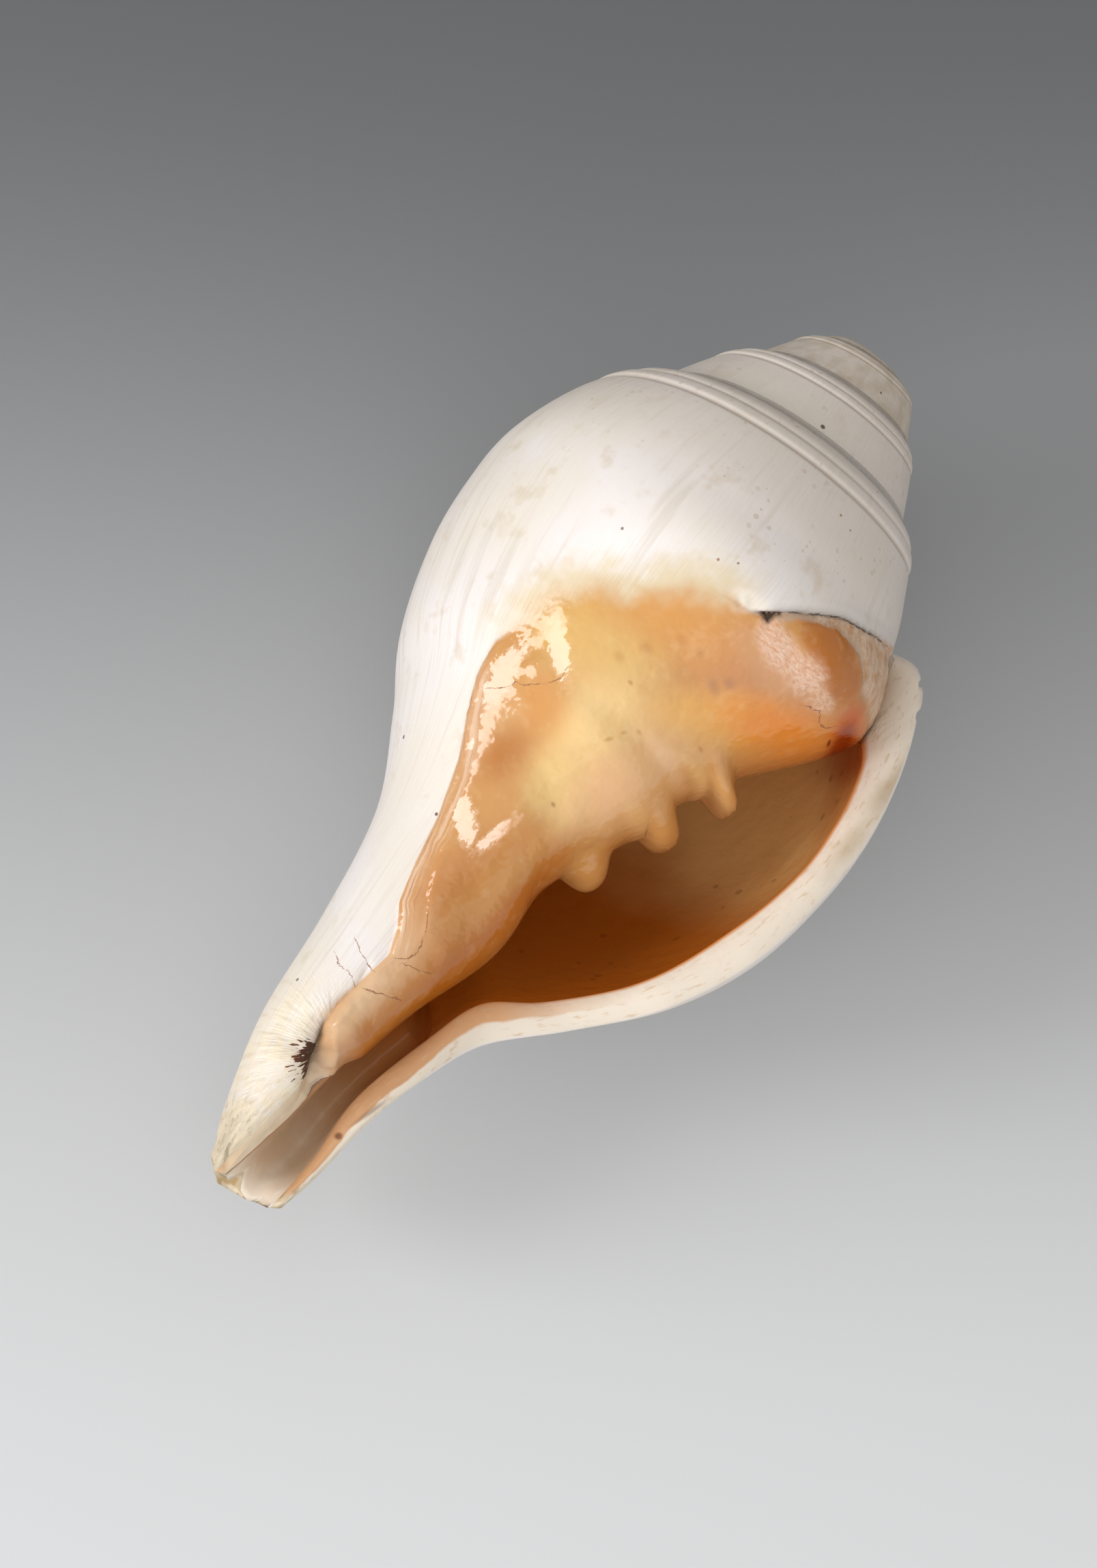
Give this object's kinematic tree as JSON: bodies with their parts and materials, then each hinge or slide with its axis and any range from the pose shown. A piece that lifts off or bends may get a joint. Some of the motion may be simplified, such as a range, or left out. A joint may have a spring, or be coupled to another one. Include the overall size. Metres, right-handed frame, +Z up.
{
  "type": "conch shell",
  "caption": "Whole sea snail shell, coiled to the right: bulging body whorl, stepped spire worn flat at the top, long open canal, wide mouth with folds on its inner side.",
  "frame": {"origin": "on the surface the shell lies on, under the middle of its box", "axes": "+X along the shell towards the apex, the canal to -X; +Z up, out of the side with the mouth; the free lip to -Y"},
  "size_m": [0.1606, 0.0824, 0.0752],
  "materials": {
    "shell": "satin"
  },
  "bodies": {
    "root": {"shell": "shell"}
  },
  "joints": []
}
